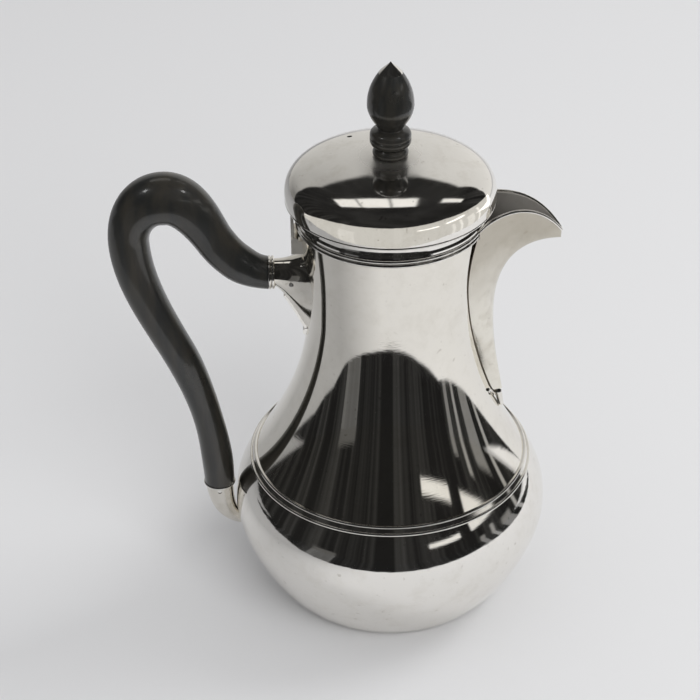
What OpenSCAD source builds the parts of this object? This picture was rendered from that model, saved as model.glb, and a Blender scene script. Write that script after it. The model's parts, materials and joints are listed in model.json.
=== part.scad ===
// Pear-shaped silver coffee pot with an ebony loop handle, a hinged domed lid and an open beak spout.
// Millimetres. Origin at the centre of the resting face, +Z up, spout towards +X, handle towards -X.

/* [Body shells] */
// Radius of the flat resting face
base_r = 44.5; // [43:0.5:46]
// Largest radius of the belly
belly_r = 63; // [60:0.5:66]
// Height of the largest radius of the belly
belly_z = 39; // [36:0.5:42]
// Radius of the seam between belly and neck
seam_r = 53.9; // [52:0.1:55]
// Height of the seam between belly and neck
seam_z = 62.7; // [60:0.1:65]
// Smallest radius of the neck
waist_r = 32; // [31:0.1:33]
// Height of the neck's smallest radius
waist_z = 129; // [126:1:132]
// Outer radius of the neck at its rim
rim_r = 35.2; // [34.5:0.1:36]
// Height of the rim, where the lid is seated
rim_z = 169.9; // [168:0.1:172]
// Thickness of the silver in the body shells
body_wall = 1.2; // [1:0.1:1.6]

/* [Applied wires] */
// Diameter of each of the girdle's two reeds
girdle_reed_d = 1.3; // [1:0.1:1.5]
// Height of the girdle along the belly
girdle_w = 3.6; // [3.2:0.1:4.2]
// Diameter of one reed of the rim moulding
rim_reed_d = 1.7; // [1.2:0.1:2]
// Number of reeds in the rim moulding
rim_reeds = 2; // [1:1:2]
// Height that the inner neck bezel stands above the rim
bezel_rise = 2.6; // [1.6:0.2:3]
// Depth of the bezel inside the neck
bezel_depth = 6; // [4:0.5:8]
// Thickness of the bezel
bezel_wall = 0.9; // [0.8:0.1:1.2]

/* [Lid] */
// Overhang of the lid's lower edge beyond the rim
lid_overhang = 4.4; // [3.4:0.1:5.2]
// Height of the dome's lower edge above the rim
lid_lift = 7.5; // [7.3:0.1:9]
// Height of the crown above the dome's lower edge
dome_rise = 16.9; // [14:0.1:19]
// Thickness of the lid's silver
lid_wall = 1.1; // [0.9:0.1:1.4]
// Diameter of the wire round the lid's edge
edge_wire_d = 1.1; // [0.8:0.1:1.4]
// How far the hollow of the lid's collar lies inside the rim
collar_hollow = 0.3; // [0:0.05:0.4]
// Radial clearance between collar and neck bezel
collar_gap = 0.6; // [0.6:0.1:1]
// Clearance between the collar's foot and the rim moulding
seat_gap = 0.3; // [0.3:0.05:0.5]
// Diameter of the steam vent
vent_d = 2; // [1.5:0.1:2.5]
// Distance of the steam vent from the lid's centre
vent_r = 25; // [20:1:28]
// Direction of the steam vent, from the spout
vent_angle = 125; // [100:5:150]

/* [Finial] */
// Largest radius of the finial's foot
foot_r = 6.7; // [6:0.1:7.2]
// Height of the finial's foot
foot_h = 3.8; // [3.4:0.1:5]
// Radius of the finial's drum
drum_r = 7.7; // [7:0.1:8.2]
// Height of the finial's drum
drum_h = 7.2; // [6.5:0.1:8]
// Largest radius of the finial's bulb
bulb_r = 8.7; // [8:0.1:9.4]
// Height of the bulb up to its silver tip
bulb_h = 22.3; // [20:0.1:24]
// Height of the silver tip
tip_h = 4.4; // [3.5:0.1:5.5]
// Radius of the finial's rod
rod_r = 1.3; // [1:0.1:1.6]
// Radial clearance round the rod
rod_gap = 0.1; // [0.05:0.05:0.2]

/* [Spout] */
// Reach of the spout's tip from the pot's axis
tip_x = 65; // [62:0.5:68]
// Depth of the underside of the spout's tip below the rim
tip_drop = 12.9; // [11:0.1:15]
// Distance of the spout's keel from the axis at its narrowest
keel_x = 40.2; // [39.5:0.1:41.5]
// Height where the keel is narrowest
keel_z = 126; // [122:1:130]
// Height of the lower end of the spout
spout_foot_z = 88; // [86:0.5:90]
// Half of the spout's width where it leaves the rim
spout_half_w = 16.5; // [15.5:0.5:17.5]
// Thickness of the spout's silver
spout_wall = 1.1; // [0.9:0.1:1.4]
// Diameter of the wire along the spout's lip
lip_wire_d = 1.2; // [1:0.1:1.5]
// Diameter of one strainer hole behind the spout
strainer_d = 3; // [2.5:0.1:3.5]
// Distance between strainer holes
strainer_pitch = 4.6; // [4.2:0.1:5]
// Number of rows of strainer holes
strainer_rows = 5; // [3:1:5]

/* [Handle] */
// Depth of the upper socket's centre line below the rim
socket_drop = 24.9; // [24:0.1:26]
// Distance of the upper socket's mouth from the axis
socket_x = 46.8; // [46:0.2:48]
// Outer radius of the upper socket's tube
tube_r = 5.4; // [5.2:0.1:5.6]
// Radius of both of the handle's ends
handle_end_r = 6.4; // [6.2:0.1:6.6]
// Rise of the handle's loop above the upper socket, between centre lines
loop_rise = 33.4; // [31:0.2:36]
// Distance of the loop's crown from the axis
loop_x = 84.5; // [82:0.5:87]
// Distance of the handle's far side from the axis, at its centre line
grip_x = 98.8; // [96:0.2:101]
// Radius of the handle at the top of its loop
loop_half_t = 10.2; // [9.5:0.1:10.6]
// Radius of the handle halfway down the grip
grip_half_t = 6.8; // [6.4:0.1:7.4]
// Share of the handle's thickness that its width has
handle_oval = 0.92; // [0.85:0.01:1]
// Distance of the lower socket's mouth from the belly, between centre line and surface
cup_out = 6.6; // [6.3:0.1:7.4]
// Height of the lower socket's mouth
cup_z = 47; // [46:0.2:48]
// Depth of the lower socket's root below its mouth
cup_drop = 20.6; // [19:0.2:22]
// Distance that the lower socket sweeps in towards the belly
cup_sweep = 9.1; // [8:0.1:10]
// Outer radius of the lower socket's mouth
cup_r = 5.6; // [5.4:0.1:5.8]
// Radius of the tangs inside the sockets
tang_r = 3.9; // [3.5:0.1:4.2]
// Length of the upper tang
tang_len = 11; // [10:0.5:12]
// Length of the lower tang
low_tang_len = 6.5; // [5:0.5:7]
// Radius of the handle pins
pin_r = 0.9; // [0.7:0.1:1.1]

/* [Hinge] */
// Distance of the hinge axis outside the rim moulding
hinge_out = 0.2; // [0.2:0.05:0.6]
// Depth of the hinge axis below the rim
hinge_drop = 8.3; // [7.9:0.1:9.4]
// Outer radius of the hinge knuckles
knuckle_r = 1.4; // [1.35:0.05:1.7]
// Length of the lid's knuckle
lid_knuckle_len = 4.4; // [4:0.1:5]
// Length of each fixed knuckle
fixed_knuckle_len = 3.2; // [2.8:0.1:3.6]
// Gap between neighbouring knuckles
knuckle_gap = 0.3; // [0.3:0.05:0.4]
// Radius of the hinge pin
hinge_pin_r = 0.7; // [0.6:0.05:0.75]
// Running clearance round the hinge pin
hinge_play = 0.05; // [0.03:0.01:0.08]
// Thickness of the hinge leaf
leaf_t = 1.2; // [1:0.1:1.25]
// Width of the hinge leaf
leaf_w = 11; // [9:0.5:12]

/* [Hidden] */

// Radii and heights that follow from the sizes above.
moulding_r = rim_r + rim_reed_d / 2;
lid_r = rim_r + lid_overhang;
lid_edge_z = rim_z + lid_lift;
crown_z = lid_edge_z + dome_rise;
tip_z = rim_z - tip_drop;
socket_z = rim_z - socket_drop;
loop_z = socket_z + loop_rise;
cup_x = belly_r + cup_out;
hinge_x = moulding_r + hinge_out;
hinge_z = rim_z - hinge_drop;

silver = [0.86, 0.85, 0.82];
ebony = [0.09, 0.09, 0.085];
round_fn = 72;
small_fn = 32;

// ---- curves ----

function bez(a, b, c, d, n) = [for (i = [0:n]) let(t = i / n)
    pow(1 - t, 3) * a + 3 * pow(1 - t, 2) * t * b + 3 * (1 - t) * t * t * c + pow(t, 3) * d];

function bez_at(p, t) = pow(1 - t, 3) * p[0] + 3 * pow(1 - t, 2) * t * p[1]
    + 3 * (1 - t) * t * t * p[2] + pow(t, 3) * p[3];

function unit(v) = v / norm(v);

function mix(a, b, t) = a * (1 - t) + b * t;

function drop_first(pts) = [for (i = [1:len(pts) - 1]) pts[i]];

function turned(pts) = [for (i = [len(pts) - 1:-1:0]) pts[i]];

// The curve moved to its left by t, for profiles that run upwards on the outside of a turned piece.
function inset(pts, t) = [for (i = [0:len(pts) - 1])
    let(a = pts[max(i - 1, 0)], b = pts[min(i + 1, len(pts) - 1)], d = unit(b - a)) pts[i] + t * [-d[1], d[0]]];

// Radius of a profile at height z.
function radius_at(pts, z) = lookup(z, [for (p = pts) [p[1], p[0]]]);

// ---- profiles of the turned shells ----

base_pull = [6.6, 5];
belly_pull_low = 12;
belly_pull_high = 8;
seam_pull_low = 12.5;
seam_pull_high = 27.3;
waist_pull_low = 20;
waist_pull_high = 16;
seam_slope_low = [-0.6, 0.8];
seam_slope_high = [-0.55, 0.835];
rim_slope = [0.12, 0.993];

belly_low = bez([base_r, 0], [base_r, 0] + base_pull, [belly_r, belly_z - belly_pull_low],
    [belly_r, belly_z], 9);
belly_high = bez([belly_r, belly_z], [belly_r, belly_z + belly_pull_high],
    [seam_r, seam_z] - seam_pull_low * seam_slope_low, [seam_r, seam_z], 8);
belly_line = concat(belly_low, drop_first(belly_high));
neck_low = bez([seam_r, seam_z], [seam_r, seam_z] + seam_pull_high * seam_slope_high,
    [waist_r, waist_z - waist_pull_low], [waist_r, waist_z], 14);
neck_high = bez([waist_r, waist_z], [waist_r, waist_z + waist_pull_high],
    [rim_r, rim_z] - waist_pull_high * rim_slope, [rim_r, rim_z], 8);
neck_line = concat(neck_low, drop_first(neck_high));

neck_inner = concat([[radius_at(inset(belly_line, body_wall), seam_z), seam_z]],
    [for (p = inset(neck_line, body_wall)) if (p[1] > seam_z + 1 && p[1] < rim_z - 1) p],
    [[rim_r - body_wall, rim_z]]);
belly_inner = concat([[0, body_wall], [radius_at(inset(belly_line, body_wall), body_wall), body_wall]],
    [for (p = inset(belly_line, body_wall)) if (p[1] > body_wall + 0.5 && p[1] < seam_z - 1) p],
    [neck_inner[0]]);

module turned_solid(pts) {
    rotate_extrude($fn = round_fn) polygon(pts);
}

// The body as one solid lump, used to cut the feet of applied pieces to its surface.
module belly_mass() {
    turned_solid(concat([[0, 0]], belly_line, [[0, seam_z]]));
}

module neck_mass() {
    turned_solid(concat([[0, seam_z - 1], [seam_r, seam_z - 1]], neck_line, [[0, rim_z]]));
}

// Swells the faceted neck out to its true circle, for pieces with flat facets of their own.
facet_room = 1.0012;

module belly_bowl() {
    color(silver) turned_solid(concat([[0, 0]], belly_line, turned(belly_inner)));
}

// Centred rows of holes, each row one hole shorter than the row above.
module strainer_holes() {
    top_row_z = rim_z - 9.9;
    for (row = [0:strainer_rows - 1]) {
        holes = strainer_rows - row;
        for (i = [0:holes - 1]) {
            turn = (i - (holes - 1) / 2) * strainer_pitch / waist_r * 180 / PI;
            rotate([0, 0, turn])
                translate([waist_r - 6, 0, top_row_z - row * strainer_pitch * 0.87])
                    rotate([0, 90, 0])
                        cylinder(h = 12, r = strainer_d / 2, $fn = small_fn);
        }
    }
}

module neck_shell() {
    color(silver) difference() {
        turned_solid(concat(neck_line, turned(neck_inner)));
        strainer_holes();
    }
}

// ---- applied wires ----

// Half-round reeds side by side along the line from a to b, swelling away from the axis.
function reed_line(a, b, count) = let(d = norm(b - a) / count, along = unit(b - a), out = [along[1], -along[0]])
    [for (k = [0:count - 1]) for (i = [0:6]) let(t = -90 + i * 30)
        a + along * d * (k + 0.5 + 0.5 * sin(t)) + out * (d / 2 * cos(t) + 0.001 * k)];

module reeded_ring(r_in, r, z, d, count) {
    turned_solid(concat([[r_in, z]], reed_line([r, z], [r, z + count * d], count), [[r_in, z + count * d]]));
}

girdle_foot_z = seam_z - girdle_w * 0.94;
girdle_foot = [radius_at(belly_line, girdle_foot_z), girdle_foot_z];

// Two reeds with a flat band between them.
module girdle_wire() {
    lift = [0.25, 0];
    low = girdle_foot + lift;
    high = [seam_r, seam_z] + lift;
    reed = girdle_reed_d * unit(high - low);
    color(silver) difference() {
        turned_solid(concat([[seam_r - 2, girdle_foot_z]], reed_line(low, low + reed, 1),
            reed_line(high - reed, high, 1), [[seam_r - 2, seam_z]]));
        belly_mass();
        neck_mass();
    }
}

moulding_h = rim_reed_d * rim_reeds;

module rim_moulding_ring() {
    reeded_ring(rim_r - 1.5, rim_r, rim_z - moulding_h, rim_reed_d, rim_reeds);
}

module rim_moulding() {
    color(silver) difference() {
        rim_moulding_ring();
        neck_mass();
    }
}

bezel_fit = 0.4;
bezel_r = rim_r - body_wall - bezel_fit;
bezel_chamfer = 0.3;

module neck_bezel() {
    color(silver) union() {
        intersection() {
            turned_solid([[bezel_r - bezel_wall, rim_z - bezel_depth], [rim_r, rim_z - bezel_depth],
                [rim_r, rim_z], [bezel_r - bezel_wall, rim_z]]);
            turned_solid(concat([[0, seam_z]], neck_inner, [[0, rim_z]]));
        }
        turned_solid([[bezel_r - bezel_wall, rim_z], [bezel_r, rim_z],
            [bezel_r, rim_z + bezel_rise - bezel_chamfer], [bezel_r - bezel_chamfer, rim_z + bezel_rise],
            [bezel_r - bezel_wall, rim_z + bezel_rise]]);
    }
}

// ---- lofted skins ----

// Closed skin over a list of rings with equal point counts, with a fan of triangles over each end.
module skin(rings) {
    n = len(rings[0]);
    last = len(rings) - 1;
    first_hub = mean(rings[0]);
    last_hub = mean(rings[last]);
    pts = concat([for (r = rings) each r], [first_hub, last_hub]);
    hub = (last + 1) * n;
    faces = concat(
        [for (i = [0:n - 1]) [hub, (i + 1) % n, i]],
        [for (k = [0:last - 1]) for (i = [0:n - 1])
            let(a = k * n + i, b = k * n + (i + 1) % n) each [[a, b, b + n], [a, b + n, a + n]]],
        [for (i = [0:n - 1]) [hub + 1, last * n + i, last * n + (i + 1) % n]]);
    polyhedron(points = pts, faces = faces, convexity = 8);
}

function sum(pts, i = 0) = i == len(pts) - 1 ? pts[i] : pts[i] + sum(pts, i + 1);

function mean(pts) = sum(pts) / len(pts);

// Oval ring round a centre in the XZ plane: half thickness b across the path, half width c along Y.
function path_ring(centre, along, b, c, sides) = let(d = unit(along)) [for (i = [0:sides - 1])
    let(a = i * 360 / sides) [centre[0] - d[1] * b * cos(a), c * sin(a), centre[1] + d[0] * b * cos(a)]];

// Value from a table of [position, value] pairs, with a smooth run between neighbours.
function eased(k, table, i = 0) = i >= len(table) - 2 || k <= table[i + 1][0]
    ? let(t = (k - table[i][0]) / (table[i + 1][0] - table[i][0]))
        mix(table[i][1], table[i + 1][1], t * t * (3 - 2 * t))
    : eased(k, table, i + 1);

function slope_at(pts, i) = pts[min(i + 1, len(pts) - 1)] - pts[max(i - 1, 0)];

// Round tube along a path in space. The path never runs along the vector facing.
module tube(path, r, sides, facing) {
    skin([for (i = [0:len(path) - 1])
        let(d = unit(slope_at(path, i)), side = unit(cross(d, facing)), up = cross(side, d))
        [for (j = [0:sides - 1]) path[i] + r * (cos(j * 360 / sides) * side + sin(j * 360 / sides) * up)]]);
}

// ---- spout ----

// Control points of the keel: from the foot to the narrowest place, and from there to the tip.
keel_foot_x = radius_at(neck_line, spout_foot_z) + 4.24;
keel_low_h = keel_z - spout_foot_z;
keel_high_h = tip_z - keel_z;
keel_low = [[keel_foot_x, spout_foot_z], [mix(keel_foot_x, keel_x, 0.48), spout_foot_z + 0.342 * keel_low_h],
    [keel_x, keel_z - 0.395 * keel_low_h], [keel_x, keel_z]];
keel_high = [[keel_x, keel_z], [keel_x, keel_z + 0.71 * keel_high_h], [mix(tip_x, keel_x, 0.605), tip_z],
    [tip_x, tip_z]];

// Control points of the lip: distance, half width, height.
lip_tip_rise = 0.28 * tip_drop;
lip = [[sqrt(pow(moulding_r, 2) - pow(spout_half_w, 2)), spout_half_w, rim_z],
    [mix(moulding_r, tip_x, 0.104), 0.455 * spout_half_w, rim_z + 0.155 * tip_drop],
    [mix(tip_x, moulding_r, 0.414), 0.455 * spout_half_w, rim_z + 0.7 * tip_drop],
    [tip_x, 0.036 * spout_half_w, tip_z + lip_tip_rise]];

// Control points of the seam on the neck: half width, height.
seam_h = rim_z - spout_foot_z;
seam_curve = [[0.06 * spout_half_w, spout_foot_z], [0.06 * spout_half_w, spout_foot_z + 0.366 * seam_h],
    [1.333 * spout_half_w, rim_z - 0.415 * seam_h], [spout_half_w, rim_z]];

// Keel position k runs 0 to 2, and edge position m runs 0 to 2: seam up to 1, lip from there.
keel_share = 1.3;
function keel_at(k) = k < 1 ? bez_at(keel_low, k) : bez_at(keel_high, k - 1);

function seam_reach(z) = radius_at(neck_line, z)
    + (moulding_r - rim_r) * pow((z - seam_z) / (rim_z - seam_z), 8);

function edge_at(m) = m > 1 ? bez_at(lip, m - 1)
    : let(e = bez_at(seam_curve, m)) [sqrt(pow(seam_reach(e[1]), 2) - e[0] * e[0]), e[0], e[1]];

function keel_for(m) = keel_at(m < 1 ? m * keel_share : keel_share + (m - 1) * (2 - keel_share));

// One cross-section of the spout, from edge to keel to edge, then back through the neck wall or the open top.
section_half_points = 5;
section_power = 1.45;
function spout_section(m, wall, lift) = let(
    e = edge_at(m), k = keel_for(m), keel = [k[0], 0, k[1]], top = [e[0], 0, e[2]], up = unit(top - keel),
    k1 = keel + wall * up, w = max(e[1] - wall, 0.1), t1 = top + lift * up,
    behind = m < 1 ? [-4, 0, 0] : [0, 0, 0])
    concat([for (i = [-section_half_points:section_half_points]) let(u = i / section_half_points)
            mix(k1, t1, pow(abs(u), section_power)) - [0, w * u, 0]],
        [t1 + behind - [0, w * 0.5, 0], t1 + behind + [0, w * 0.5, 0]]);

seam_steps = 12;
lip_steps = 12;
spout_stations = concat([for (i = [0:seam_steps]) i / seam_steps], [for (i = [1:lip_steps]) 1 + i / lip_steps]);

module spout_outside() {
    skin([for (m = spout_stations) spout_section(m, 0, 0)]);
}

module spout_inside() {
    lift = 2;
    skin([for (m = spout_stations) if (m > 0.1 && m < 1.95) spout_section(m, spout_wall, lift)]);
}

// Room for the rim moulding and for the lid above it.
module rim_room() {
    translate([0, 0, rim_z - moulding_h])
        cylinder(h = 40, r = moulding_r + 0.02, $fn = round_fn);
}

module spout() {
    color(silver) difference() {
        spout_outside();
        spout_inside();
        neck_mass();
        rim_room();
    }
}

module spout_lip_wire() {
    near = [for (i = [0:lip_steps]) let(e = edge_at(1 + i / lip_steps * 0.995)) [e[0], -e[1], e[2]]];
    far = [for (p = turned(near)) [p[0], -p[1], p[2]]];
    color(silver) difference() {
        tube(concat(near, far), lip_wire_d / 2, 8, [1, 0, 1]);
        spout_outside();
        rim_room();
    }
}

// Two wings across the foot of the spout with a drop hanging from them.
module spout_drop() {
    wing_span = 7;
    wing_rise = 7;
    wing_r = 0.7;
    top_z = spout_foot_z - 1.4;
    end_z = spout_foot_z - 7;
    drop_top = [radius_at(neck_line, top_z) + 2.17, 0, top_z];
    drop_end = [radius_at(neck_line, end_z) + 0.97, 0, end_z];
    color(silver) difference() {
        union() {
            tube([for (i = [-6:6]) let(y = wing_span * i / 6, z = spout_foot_z - 2.7 + wing_rise * abs(i) / 6)
                [sqrt(pow(radius_at(neck_line, z) + 0.2, 2) - y * y), y, z]], wing_r, 8, [1, 0, 0]);
            hull() {
                translate(drop_top)
                    sphere(r = 1.5, $fn = 20);
                translate(drop_end)
                    sphere(r = 1.1, $fn = 20);
            }
        }
        scale([facet_room, facet_room, 1])
            neck_mass();
        spout_outside();
    }
}

// ---- handle and sockets ----

// The upper socket: a tube that flares into a shield on the neck, pointed below.
flare_len = 0.342 * socket_x;
flare_w = 1.48 * tube_r;
flare_up = 1.3 * tube_r;
flare_down = 5.56 * tube_r;
tube_straight = 0.52 * tube_r;

function socket_ring(s, sides) = let(
    x = -socket_x + tube_straight + flare_len * s,
    w = tube_r + flare_w * pow(s, 2),
    up = tube_r + flare_up * pow(s, 2.4),
    down = tube_r + flare_down * pow(s, 1.25))
    [for (i = [0:sides - 1]) let(a = i * 360 / sides, c = cos(a), n = sin(a))
        [x, -w * c * (n < 0 ? 1 - 0.35 * s * n * n : 1), socket_z + (n > 0 ? up : down) * n]];

module socket_outside() {
    skin([for (i = [0:10]) socket_ring(i / 10, small_fn)]);
    translate([-socket_x, 0, socket_z])
        rotate([0, 90, 0])
            cylinder(h = tube_straight + 0.4, r = tube_r, $fn = small_fn);
}

bore_gap = 0.1;

module upper_tang_bore(r, extra) {
    translate([-socket_x - 1, 0, socket_z])
        rotate([0, 90, 0])
            cylinder(h = tang_len + 1 + extra, r = r, $fn = small_fn);
}

upper_pin_x = 0.8 * tang_len - socket_x;

module across_pin(x, z, r, half_len) {
    translate([x, half_len, z])
        rotate([90, 0, 0])
            cylinder(h = 2 * half_len, r = r, $fn = small_fn);
}

upper_pin_z = socket_z - 0.5 * tang_r;
upper_pin_half = tube_r + 1.2;
lower_pin_z = cup_z - 0.4 * low_tang_len;
lower_pin_half = cup_r - 0.4;
pin_bore_half = 4 * tube_r;

module upper_socket() {
    color(silver) difference() {
        socket_outside();
        upper_tang_bore(tang_r + bore_gap, 0.5);
        across_pin(upper_pin_x, upper_pin_z, pin_r, pin_bore_half);
        neck_mass();
    }
}

// Half-round ring of the given profile round the X axis through a socket's mouth.
module ferrule(r_in, r, d, count) {
    turned_solid(concat([[r_in, 0]], reed_line([r, 0], [r, count * d], count), [[r_in, count * d]]));
}

ferrule_reed_d = 1.3;

module upper_ferrule() {
    color(silver) translate([-socket_x, 0, socket_z])
        rotate([0, 90, 0])
            ferrule(tube_r, tube_r + 0.5, ferrule_reed_d, 2);
}

// Flat strap under the flare, ending in a small scroll on the neck.
module socket_strap() {
    strap_w = 3.2;
    strap_t = 1;
    scroll_r = 1.5;
    line = [for (i = [1:9]) let(r = socket_ring(0.15 + i * 0.065, 4)) [r[3][0], r[3][2]]];
    rings = [for (i = [0:len(line) - 1])
        let(d = unit(slope_at(line, i)), n = [d[1], -d[0]], o = line[i] - 0.4 * n)
        [for (c = [[-0.6, 1], [1, 1], [1, -1], [-0.6, -1]])
            [o[0] + n[0] * strap_t * c[0], strap_w / 2 * c[1], o[1] + n[1] * strap_t * c[0]]]];
    color(silver) difference() {
        union() {
            skin(rings);
            translate([line[8][0] - 0.3, strap_w / 2 + 0.2, line[8][1] - 0.6])
                rotate([90, 0, 0])
                    cylinder(h = strap_w + 0.4, r = scroll_r, $fn = small_fn);
        }
        socket_outside();
        neck_mass();
    }
}

cup_path = [[-cup_x, cup_z], [-cup_x, cup_z - 0.48 * cup_drop],
    [0.23 * cup_sweep - cup_x, cup_z - 0.83 * cup_drop], [cup_sweep - cup_x, cup_z - cup_drop]];
cup_taper = 0.64;

module lower_socket() {
    steps = 10;
    color(silver) difference() {
        skin([for (i = [0:steps]) let(t = i / steps, b = bez_at(cup_path, t),
            c = bez_at(cup_path, min(t + 0.02, 1.02)), a = bez_at(cup_path, t - 0.02),
            r = cup_r * (1 - cup_taper * pow(t, 1.6))) path_ring(b, c - a, r, r, small_fn)]);
        translate([-cup_x, 0, cup_z - low_tang_len - 0.5])
            cylinder(h = low_tang_len + 1, r = tang_r + bore_gap, $fn = small_fn);
        across_pin(-cup_x, lower_pin_z, pin_r, pin_bore_half);
        belly_mass();
    }
}

module lower_ferrule() {
    color(silver) difference() {
        translate([-cup_x, 0, cup_z - ferrule_reed_d])
            ferrule(cup_r, cup_r + 0.2, ferrule_reed_d, 1);
        belly_mass();
    }
}

// The handle's centre line as five curves, each of four points.
h_start = [-socket_x, socket_z];
h_rise = [-mix(socket_x, loop_x, 0.515), socket_z + 0.434 * loop_rise];
h_top = [-loop_x, loop_z];
h_side = [-grip_x, loop_z - 0.536 * loop_rise];
h_grip = [-mix(cup_x, grip_x, 0.469), mix(cup_z, socket_z, 0.653)];
h_end = [-cup_x, cup_z];
rise_dir = unit([-0.53, 0.85]);
grip_dir = unit([0.41, -0.91]);
handle_curves = [
    [h_start, h_start + loop_rise * [-0.27, 0.027], h_rise - 0.24 * loop_rise * rise_dir, h_rise],
    [h_rise, h_rise + 0.21 * loop_rise * rise_dir, h_top + loop_rise * [0.27, 0], h_top],
    [h_top, h_top - loop_rise * [0.255, 0], h_side + loop_rise * [0, 0.284], h_side],
    [h_side, h_side - loop_rise * [0, 0.509], h_grip - 0.479 * loop_rise * grip_dir, h_grip],
    [h_grip, h_grip + 0.6 * loop_rise * grip_dir, h_end + loop_rise * [0, 0.659], h_end]];
handle_half = [[0, handle_end_r], [0.5, 1.17 * handle_end_r], [1, 1.2 * handle_end_r], [2, loop_half_t],
    [3, 1.147 * grip_half_t], [4, grip_half_t], [4.55, 0.92 * handle_end_r], [4.85, 0.985 * handle_end_r],
    [5, 0.953 * handle_end_r]];
handle_steps = 9;
handle_sides = 20;

function handle_at(k) = let(i = min(floor(k), 4)) bez_at(handle_curves[i], k - i);

module handle() {
    total = handle_steps * 5;
    color(ebony) difference() {
        union() {
            skin([for (j = [0:total]) let(k = j * 5 / total, b = eased(k, handle_half),
                along = j == 0 ? [-1, 0] : j == total ? [0, -1] : handle_at(k + 0.01) - handle_at(k - 0.01))
                path_ring(handle_at(k), along, b, b * (j == 0 || j == total ? 1 : handle_oval), handle_sides)]);
            upper_tang_bore(tang_r, 0);
            translate([-cup_x, 0, cup_z - low_tang_len])
                cylinder(h = low_tang_len + 1, r = tang_r, $fn = small_fn);
        }
        across_pin(upper_pin_x, upper_pin_z, pin_r, pin_bore_half);
        across_pin(-cup_x, lower_pin_z, pin_r, pin_bore_half);
    }
}

module upper_handle_pin() {
    color(silver) across_pin(upper_pin_x, upper_pin_z, pin_r, upper_pin_half);
}

module lower_handle_pin() {
    color(silver) across_pin(-cup_x, lower_pin_z, pin_r, lower_pin_half);
}

// ---- hinge ----

module at_hinge(y) {
    translate([-hinge_x, y, hinge_z])
        rotate([90, 0, 0])
            children();
}

fixed_start = lid_knuckle_len / 2 + knuckle_gap;
hinge_half = fixed_start + fixed_knuckle_len;

module hinge_lug() {
    foot_h = 5.6;
    bridge_h = foot_h - knuckle_r - 0.5;
    color(silver) difference() {
        union() {
            for (side = [-1, 1]) {
                at_hinge(side > 0 ? hinge_half : -fixed_start)
                    cylinder(h = fixed_knuckle_len, r = knuckle_r, $fn = small_fn);
                translate([-hinge_x - knuckle_r, side > 0 ? fixed_start : -hinge_half, hinge_z - foot_h])
                    cube([knuckle_r + 6, fixed_knuckle_len, foot_h]);
            }
            translate([-hinge_x - knuckle_r, -hinge_half, hinge_z - foot_h])
                cube([knuckle_r + 6, 2 * hinge_half, bridge_h]);
        }
        at_hinge(hinge_half + 1)
            cylinder(h = 2 * hinge_half + 2, r = hinge_pin_r, $fn = small_fn);
        neck_mass();
        socket_outside();
    }
}

module hinge_pin() {
    color(silver) at_hinge(hinge_half)
        cylinder(h = 2 * hinge_half, r = hinge_pin_r, $fn = small_fn);
}

collar_top = lid_edge_z - 0.1;
leaf_top = collar_top - 2.2;

module hinge_leaf() {
    knuckle_clear = knuckle_r + 0.35;
    foot_z = rim_z + seat_gap + 1.2;
    color(silver) difference() {
        union() {
            at_hinge(lid_knuckle_len / 2)
                cylinder(h = lid_knuckle_len, r = knuckle_r, $fn = small_fn);
            translate([-hinge_x - knuckle_r, -lid_knuckle_len / 2, hinge_z])
                cube([leaf_t, lid_knuckle_len, leaf_top - hinge_z]);
            translate([-hinge_x - knuckle_r, -leaf_w / 2, hinge_z + knuckle_clear])
                cube([leaf_t, leaf_w, leaf_top - hinge_z - knuckle_clear]);
            translate([-hinge_x - knuckle_r, -leaf_w / 2, foot_z])
                cube([knuckle_r + 4, leaf_w, leaf_top - foot_z]);
        }
        at_hinge(hinge_half + 1)
            cylinder(h = 2 * hinge_half + 2, r = hinge_pin_r + hinge_play, $fn = small_fn);
        lid_collar_mass();
    }
}

// ---- lid ----

flat_r = foot_r + 0.4;
dome_line = concat(bez([lid_r, lid_edge_z], [lid_r + 0.065 * dome_rise, lid_edge_z + 0.545 * dome_rise],
    [mix(flat_r, lid_r, 0.866), crown_z - 0.167 * dome_rise], [flat_r, crown_z], 16), [[0, crown_z]]);
dome_inner = concat([for (p = inset(dome_line, lid_wall)) if (p[0] > flat_r + 1 && p[1] > lid_edge_z + 0.4) p],
    [[flat_r, crown_z - lid_wall], [0, crown_z - lid_wall]]);

module lid_dome() {
    color(silver) difference() {
        turned_solid(concat(dome_line, turned(dome_inner), [[lid_r - lid_wall, lid_edge_z]]));
        translate([0, 0, crown_z - 5])
            cylinder(h = 10, r = rod_r, $fn = small_fn);
        rotate([0, 0, vent_angle])
            translate([vent_r, 0, crown_z - 8])
                cylinder(h = 12, r = vent_d / 2, $fn = small_fn);
    }
}

collar_flange_r = lid_r - 0.5;
collar_foot_r = rim_r + 0.4;
collar_foot_z = rim_z + seat_gap;
collar_in_r = bezel_r + collar_gap;

collar_waist_r = rim_r - collar_hollow;

// Outside of the lid's collar: a hollow curve from its foot to its flange.
collar_line = concat([[collar_foot_r, collar_foot_z], [collar_foot_r, collar_foot_z + 0.7]],
    bez([collar_waist_r, collar_foot_z + 1.6], [collar_waist_r, collar_foot_z + 4.5],
        [collar_waist_r + 0.8, lid_edge_z - 1.2], [collar_flange_r, lid_edge_z - 1], 7),
    [[collar_flange_r, lid_edge_z]]);

module lid_collar_mass() {
    turned_solid(concat([[0, collar_foot_z]], collar_line, [[0, lid_edge_z]]));
}

module lid_collar() {
    color(silver) turned_solid(concat(collar_line, [[collar_in_r, lid_edge_z], [collar_in_r, collar_foot_z]]));
}

module lid_edge_wire() {
    color(silver) turned_solid(concat([[collar_flange_r, lid_edge_z - edge_wire_d]],
        reed_line([collar_flange_r, lid_edge_z - edge_wire_d], [collar_flange_r, lid_edge_z], 1),
        [[collar_flange_r, lid_edge_z]]));
}

// ---- finial ----

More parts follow.
